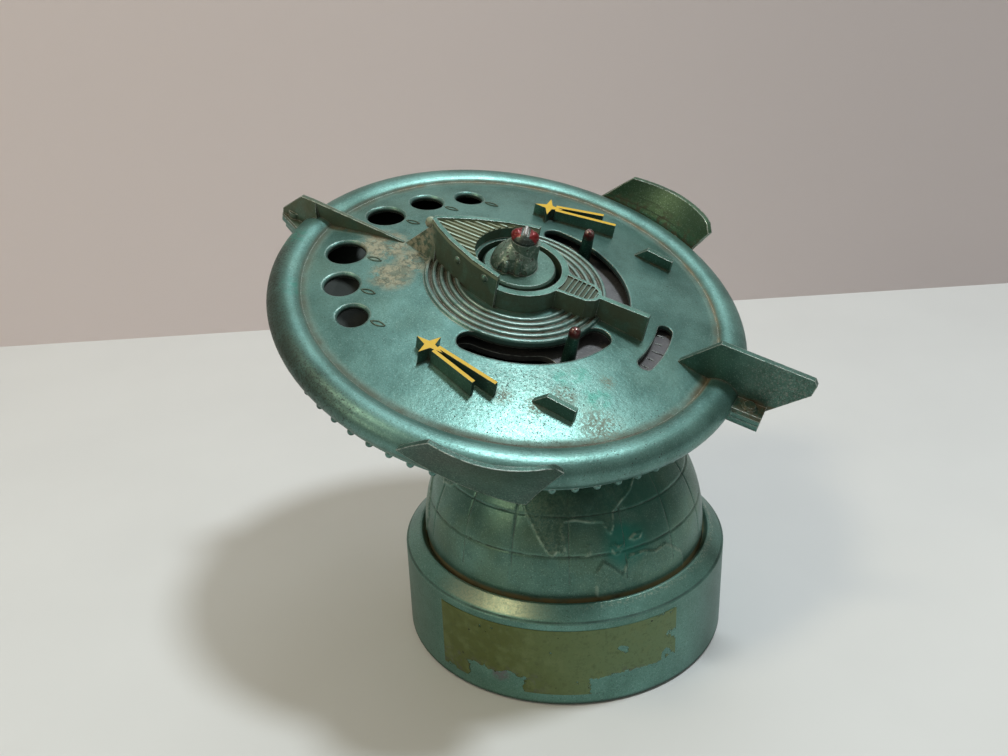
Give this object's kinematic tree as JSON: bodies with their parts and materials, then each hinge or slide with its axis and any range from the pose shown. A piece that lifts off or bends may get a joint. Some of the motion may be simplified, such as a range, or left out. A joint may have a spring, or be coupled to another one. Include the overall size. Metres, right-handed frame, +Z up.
{
  "type": "flying saucer coin bank",
  "caption": "Coin bank in the form of a tilted flying saucer on a globe in a round base, with slotted plate, turning coin gate, fins, wings and a locked coin trap underneath",
  "frame": {"origin": "middle of the face that the base ring rests on", "axes": "+Z up; -Y towards the front, where the label film is; +X to the right seen from the front"},
  "size_m": [0.1429, 0.1348, 0.1142],
  "materials": {
    "green_paint": "sea green metallic paint, speckled and worn at the edges",
    "dark_green_paint": "the same paint, darker and dirtier",
    "badge_yellow": "yellow tops over dark green sides",
    "red_paint": "dark red gloss paint, worn",
    "bare_zinc": "dull bare zinc alloy",
    "zinc_plate": "plated sheet steel, dulled",
    "steel": "worn steel",
    "brass": "aged brass",
    "label_film": "worn translucent yellow-green film, blank"
  },
  "bodies": {
    "stand": {"base_ring": "green_paint", "globe_dome": "green_paint", "bottom_cover": "zinc_plate", "cover_screws": "steel", "trap_lid": "zinc_plate", "lock_body": "brass", "label_film": "label_film", "lower_shell": "green_paint", "upper_shell": "green_paint", "flight_deck": "green_paint", "small_fins": "green_paint", "side_badges": "badge_yellow", "nose_fin": "green_paint", "tail_fin": "green_paint", "wing_left": "green_paint", "wing_right": "green_paint", "ear_rivets": "steel", "neck_screws": "steel", "pivot_screw": "steel", "spring_washer": "steel", "flat_washer": "steel"},
    "turntable": {"turntable": "bare_zinc", "lever_front": "dark_green_paint", "lever_rear": "dark_green_paint", "hub_turret": "dark_green_paint", "turret_cap": "red_paint"},
    "lock": {"lock_plug": "brass", "lock_cam": "steel", "cam_nut": "steel"}
  },
  "joints": [
    {"name": "turntable_turn", "type": "hinge", "parent": "stand", "child": "turntable", "pos_m": [-0.0136, 0.0132, 0.0876], "axis": [0.1891, -0.2751, 0.9426], "range_deg": [-57, 23]},
    {"name": "lock_turn", "type": "hinge", "parent": "stand", "child": "lock", "pos_m": [0, 0, 0.002], "axis": [0, 0, 1], "range_deg": [0, 90]}
  ]
}
